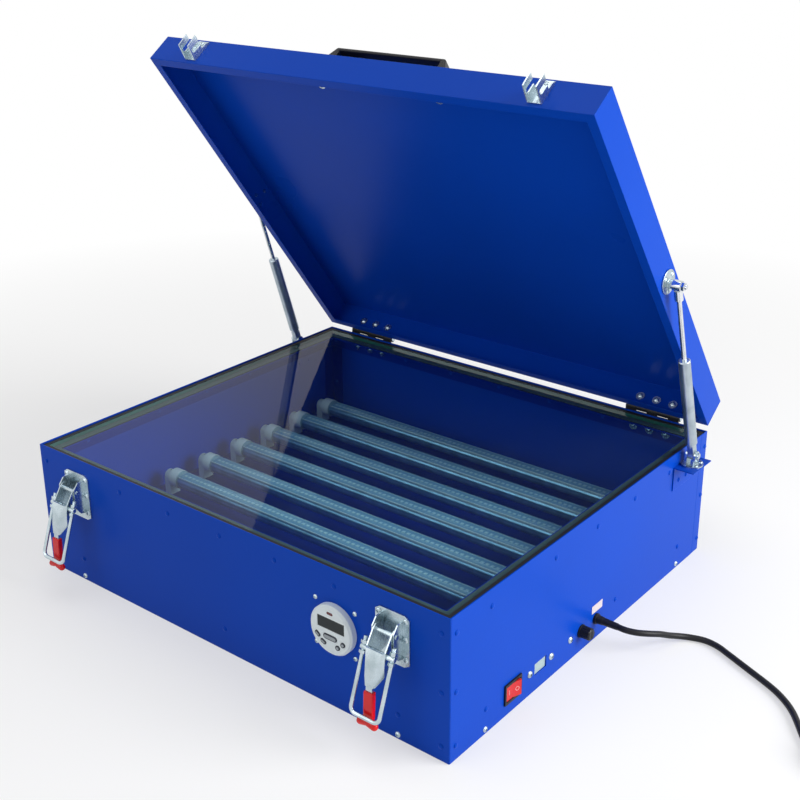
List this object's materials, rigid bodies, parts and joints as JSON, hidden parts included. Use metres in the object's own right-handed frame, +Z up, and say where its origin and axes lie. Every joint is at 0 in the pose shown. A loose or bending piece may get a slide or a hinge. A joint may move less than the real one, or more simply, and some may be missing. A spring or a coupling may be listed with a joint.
{
  "type": "screen printing exposure unit",
  "caption": "Low box with a glass top over tube lamps and a hinged pan lid on two gas struts, with toggle latches, a round timer and a mains cord.",
  "frame": {"origin": "centre of the case's underside", "axes": "+Z up, -Y towards the front with the timer and latches, +X towards the side with the switch and mains cord"},
  "size_m": [1.0797, 0.65, 0.6726],
  "materials": {
    "blue_paint": "semi-gloss royal blue paint",
    "glass": "clear float glass",
    "seal": "satin black",
    "zinc": "bright zinc plate",
    "grey_paint": "satin silver grey",
    "black_steel": "satin black",
    "lamp_tube": "clear tube",
    "white_plastic": "satin white",
    "wire": "matt",
    "timer_grey": "matt light grey",
    "display": "dark display",
    "lamp_red": "dark red",
    "button_grey": "matt grey",
    "black_plastic": "satin black",
    "red_plastic": "gloss red",
    "red_vinyl": "gloss red dip",
    "cord": "satin black"
  },
  "bodies": {
    "case": {"front_panel": "blue_paint", "left_panel": "blue_paint", "right_panel": "blue_paint", "rear_panel": "blue_paint", "base_panel": "blue_paint", "corner_posts": "blue_paint", "glass_ledge": "blue_paint", "glass_seal": "seal", "glass_plate": "glass", "lamp_deck": "blue_paint", "case_rivets": "blue_paint", "case_screws": "zinc", "lamp_tubes": "lamp_tube", "lamp_caps": "white_plastic", "led_strips": "white_plastic", "lamp_holders": "white_plastic", "power_driver": "zinc", "terminal_block": "white_plastic", "wiring": "wire", "timer_body": "timer_grey", "timer_display": "display", "timer_lamp": "lamp_red", "rocker_frame": "black_plastic", "blanking_plate": "timer_grey", "fuse_holder": "black_plastic", "cord_gland": "black_plastic", "label_plate": "white_plastic", "cord": "cord", "cord_coil": "cord", "plug": "black_plastic", "hinge_case_leaves": "black_steel", "hinge_pins": "zinc", "strut_shelves": "blue_paint", "strut_feet": "zinc", "latch_bases": "zinc"},
    "lid": {"hinge_lid_leaves": "black_steel", "lid_shell": "blue_paint", "lid_handle": "black_plastic", "lid_screws": "zinc", "latch_catches": "zinc", "strut_lid_brackets": "zinc"},
    "strut_tube_left": {"strut_tube_left": "grey_paint"},
    "strut_rod_left": {"strut_rod_left": "zinc"},
    "strut_tube_right": {"strut_tube_right": "grey_paint"},
    "strut_rod_right": {"strut_rod_right": "zinc"},
    "latch_lever_left": {"latch_handle_left": "zinc", "latch_grip_left": "red_vinyl"},
    "latch_clasp_left": {"latch_loop_left": "zinc"},
    "latch_lever_right": {"latch_handle_right": "zinc", "latch_grip_right": "red_vinyl"},
    "latch_clasp_right": {"latch_loop_right": "zinc"},
    "switch": {"rocker_paddle": "red_plastic"},
    "button_1": {"timer_button_1": "button_grey"},
    "button_2": {"timer_button_2": "button_grey"},
    "button_3": {"timer_button_3": "button_grey"},
    "button_4": {"timer_button_4": "button_grey"},
    "button_5": {"timer_button_5": "button_grey"},
    "fuse_knob": {"fuse_cap": "black_plastic"}
  },
  "joints": [
    {"name": "lid_hinge", "type": "hinge", "parent": "case", "child": "lid", "pos_m": [0, 0.2885, 0.18], "axis": [1, 0, 0], "range_deg": [0, 53.7]},
    {"name": "strut_pivot_left", "type": "hinge", "parent": "case", "child": "strut_tube_left", "pos_m": [-0.3425, 0.2145, 0.171], "axis": [1, 0, 0], "range_deg": [0, 65.38]},
    {"name": "strut_stroke_left", "type": "slide", "parent": "strut_tube_left", "child": "strut_rod_left", "axis": [0, -0.3051, 0.9523], "range_m": [-0.04949, 0]},
    {"name": "strut_pivot_right", "type": "hinge", "parent": "case", "child": "strut_tube_right", "pos_m": [0.3425, 0.2145, 0.171], "axis": [1, 0, 0], "range_deg": [0, 65.38]},
    {"name": "strut_stroke_right", "type": "slide", "parent": "strut_tube_right", "child": "strut_rod_right", "axis": [0, -0.3051, 0.9523], "range_m": [-0.04949, 0]},
    {"name": "latch_lever_turn_left", "type": "hinge", "parent": "case", "child": "latch_lever_left", "pos_m": [-0.257, -0.2955, 0.138], "axis": [1, 0, 0], "range_deg": [-110, 0]},
    {"name": "latch_loop_swing_left", "type": "hinge", "parent": "latch_lever_left", "child": "latch_clasp_left", "pos_m": [-0.257, -0.3075, 0.12], "axis": [-1, 0, 0], "range_deg": [0, 170.9]},
    {"name": "latch_lever_turn_right", "type": "hinge", "parent": "case", "child": "latch_lever_right", "pos_m": [0.257, -0.2955, 0.138], "axis": [1, 0, 0], "range_deg": [-110, 0]},
    {"name": "latch_loop_swing_right", "type": "hinge", "parent": "latch_lever_right", "child": "latch_clasp_right", "pos_m": [0.257, -0.3075, 0.12], "axis": [-1, 0, 0], "range_deg": [0, 170.9]},
    {"name": "switch_rock", "type": "hinge", "parent": "case", "child": "switch", "pos_m": [0.3262, -0.1675, 0.028], "axis": [0, 0, 1], "range_deg": [0, 20]},
    {"name": "button_press_1", "type": "slide", "parent": "case", "child": "button_1", "axis": [0, 1, 0], "range_m": [0, 0.0006], "stiffness_N_per_m": 300},
    {"name": "button_press_2", "type": "slide", "parent": "case", "child": "button_2", "axis": [0, 1, 0], "range_m": [0, 0.0006], "stiffness_N_per_m": 300},
    {"name": "button_press_3", "type": "slide", "parent": "case", "child": "button_3", "axis": [0, 1, 0], "range_m": [0, 0.0006], "stiffness_N_per_m": 300},
    {"name": "button_press_4", "type": "slide", "parent": "case", "child": "button_4", "axis": [0, 1, 0], "range_m": [0, 0.0006], "stiffness_N_per_m": 300},
    {"name": "button_press_5", "type": "slide", "parent": "case", "child": "button_5", "axis": [0, 1, 0], "range_m": [0, 0.0006], "stiffness_N_per_m": 300},
    {"name": "fuse_cap_turn", "type": "hinge", "parent": "case", "child": "fuse_knob", "pos_m": [0.33, -0.0235, 0.028], "axis": [1, 0, 0], "range_deg": [0, 90]}
  ],
  "couplings": [
    {"joint": "strut_pivot_left", "follows": "lid_hinge", "ratio": 1.2119},
    {"joint": "strut_stroke_left", "follows": "lid_hinge", "m_per_rad": -0.052489},
    {"joint": "strut_pivot_right", "follows": "lid_hinge", "ratio": 1.2119},
    {"joint": "strut_stroke_right", "follows": "lid_hinge", "m_per_rad": -0.052489}
  ]
}
